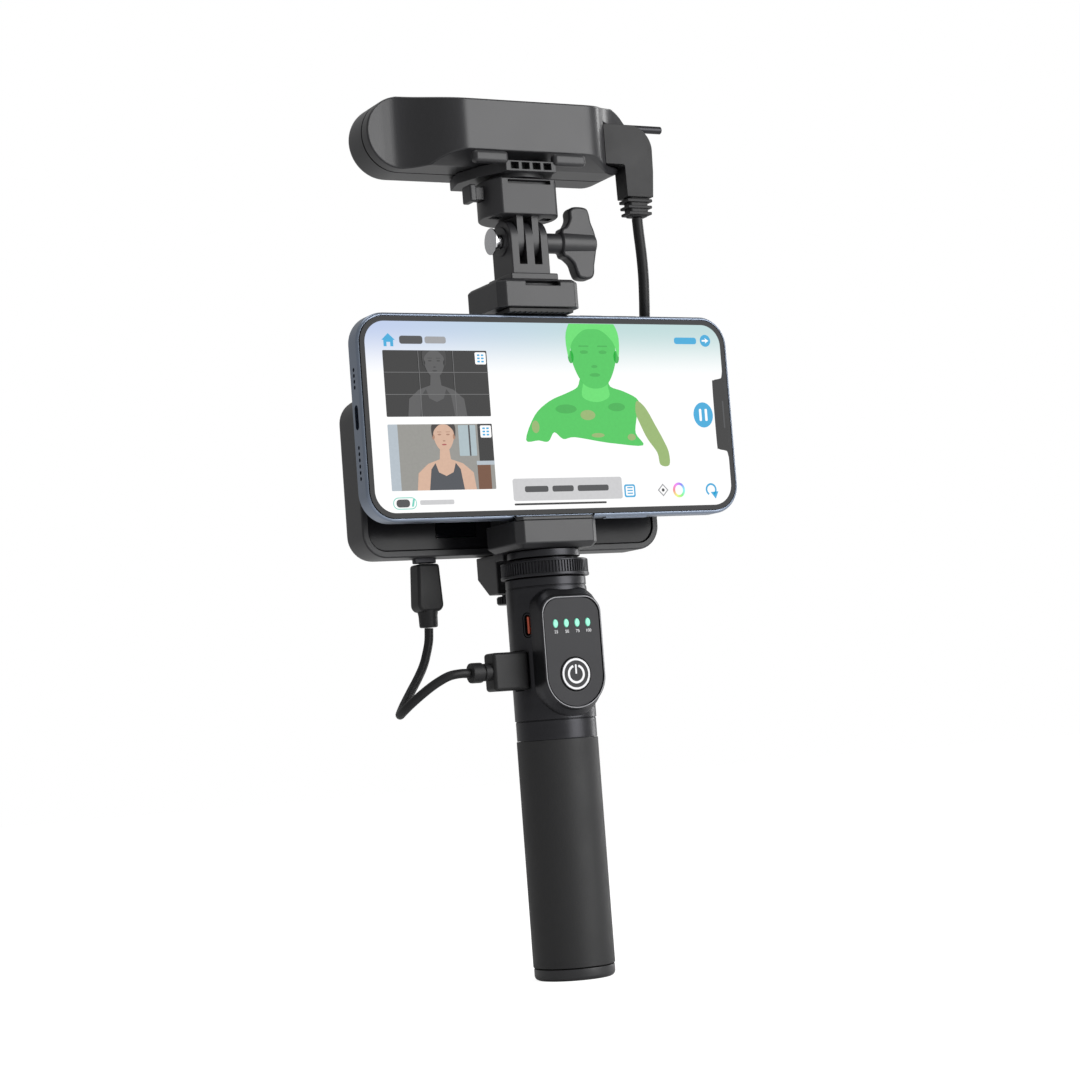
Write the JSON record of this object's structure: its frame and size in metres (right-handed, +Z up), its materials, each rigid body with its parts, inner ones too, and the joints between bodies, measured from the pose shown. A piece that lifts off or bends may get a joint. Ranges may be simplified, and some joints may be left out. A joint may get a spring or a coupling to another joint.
{
  "type": "three-d scanner",
  "caption": "Hand-held three-d scanner: a battery grip carries a spring clamp with a telephone as its screen, a radio box behind it, and a long scanner head on a tilting quick-release joint.",
  "frame": {"origin": "middle of the grip's flat underside, on the grip's axis", "axes": "+Z up the grip, +X to the right as seen by the person who holds it, the telephone's screen faces -Y and the scanner looks along +Y"},
  "size_m": [0.1467, 0.0545, 0.3106],
  "materials": {
    "black_plastic": "fine moulded texture",
    "dark_plastic": "satin",
    "panel_grey": "satin",
    "black_rubber": "matte",
    "black_metal": "satin black",
    "phone_blue": "satin blue-black",
    "screen_glass": "polished",
    "bright_steel": "bright",
    "lamp_green": "clear",
    "tongue_red": "satin",
    "board_green": "coated",
    "cell_blue": "wrapped",
    "lens_glass": "polished"
  },
  "bodies": {
    "handle": {"base_cap": "black_plastic", "grip_tube": "black_metal", "rubber_sleeve": "black_rubber", "battery_cell": "cell_blue", "handle_housing": "black_metal", "control_panel": "panel_grey", "led_light_guide": "lamp_green", "circuit_board": "board_green", "charge_port": "bright_steel", "charge_port_tongue": "tongue_red", "usb_a_socket": "bright_steel", "link_plug_a": "black_plastic", "link_plug_a_tip": "bright_steel", "neck_stud": "bright_steel"},
    "power_button": {"power_button": "panel_grey"},
    "lock_ring": {"lock_ring": "black_metal"},
    "clamp": {"foot_disc": "black_metal", "lower_jaw": "black_plastic", "lower_jaw_pad": "black_rubber", "clamp_spine": "dark_plastic", "bridge_bracket": "black_plastic", "bridge_rear_shell": "black_plastic", "bridge_front_panel": "dark_plastic", "bridge_window": "lens_glass", "bridge_board": "board_green", "bridge_lower_socket": "bright_steel", "bridge_side_socket": "bright_steel", "link_plug_c": "black_plastic", "link_plug_c_tip": "bright_steel", "side_plug": "black_plastic", "phone_body": "phone_blue", "phone_glass": "screen_glass", "phone_camera_block": "lens_glass", "link_cord": "black_rubber"},
    "bridge_screw": {"bridge_screw": "black_metal"},
    "volume_up_key": {"volume_up_key": "phone_blue"},
    "volume_down_key": {"volume_down_key": "phone_blue"},
    "side_key": {"side_key": "phone_blue"},
    "upper_jaw": {"upper_jaw": "black_plastic", "upper_jaw_pad": "black_rubber", "guide_rod_left": "bright_steel", "guide_rod_right": "bright_steel", "jaw_spring": "bright_steel", "fork_mount": "black_plastic", "hinge_bolt": "bright_steel"},
    "wing_knob": {"wing_knob": "black_plastic"},
    "tilt_head": {"head_base": "black_plastic", "cradle": "black_plastic", "scanner_rear_shell": "dark_plastic", "scanner_front_cover": "dark_plastic", "front_window": "lens_glass", "left_camera": "lens_glass", "projector": "lens_glass", "right_camera": "lens_glass", "scanner_board": "board_green", "scanner_port": "bright_steel", "scanner_plug": "black_plastic", "strap_pin": "black_metal", "scanner_cord": "black_rubber"},
    "release_tab": {"release_tab": "black_plastic"}
  },
  "joints": [
    {"name": "power_press", "type": "slide", "parent": "handle", "child": "power_button", "axis": [0, 1, 0], "range_m": [0, 0.0006], "stiffness_N_per_m": 900, "springref_m": -0.0006},
    {"name": "ring_turn", "type": "hinge", "parent": "handle", "child": "lock_ring", "pos_m": [0, 0, 0.1415], "axis": [0, 0, 1], "continuous": true},
    {"name": "clamp_pan", "type": "hinge", "parent": "handle", "child": "clamp", "pos_m": [0, 0, 0.1466], "axis": [0, 0, 1], "range_deg": [-45, 45], "deforming": ["link_cord"]},
    {"name": "bridge_screw_turn", "type": "hinge", "parent": "clamp", "child": "bridge_screw", "pos_m": [0, 0.0276, 0.133], "axis": [0, 0, 1], "continuous": true},
    {"name": "volume_up_press", "type": "slide", "parent": "clamp", "child": "volume_up_key", "axis": [0, 0, -1], "range_m": [0, 0.0004], "stiffness_N_per_m": 900, "springref_m": -0.0006},
    {"name": "volume_down_press", "type": "slide", "parent": "clamp", "child": "volume_down_key", "axis": [0, 0, -1], "range_m": [0, 0.0004], "stiffness_N_per_m": 900, "springref_m": -0.0006},
    {"name": "side_key_press", "type": "slide", "parent": "clamp", "child": "side_key", "axis": [0, 0, 1], "range_m": [0, 0.0004], "stiffness_N_per_m": 900, "springref_m": -0.0006},
    {"name": "jaw_slide", "type": "slide", "parent": "clamp", "child": "upper_jaw", "axis": [0, 0, 1], "range_m": [0, 0.012], "stiffness_N_per_m": 250, "springref_m": -0.02, "deforming": ["jaw_spring", "scanner_cord"]},
    {"name": "wing_turn", "type": "hinge", "parent": "upper_jaw", "child": "wing_knob", "pos_m": [0.02, 0, 0.2579], "axis": [1, 0, 0], "continuous": true},
    {"name": "head_tilt", "type": "hinge", "parent": "upper_jaw", "child": "tilt_head", "pos_m": [0, 0, 0.2579], "axis": [1, 0, 0], "range_deg": [-60, 60], "deforming": ["scanner_cord"]},
    {"name": "tab_press", "type": "slide", "parent": "tilt_head", "child": "release_tab", "axis": [1, 0, 0], "range_m": [0, 0.002], "stiffness_N_per_m": 600, "springref_m": -0.001}
  ]
}
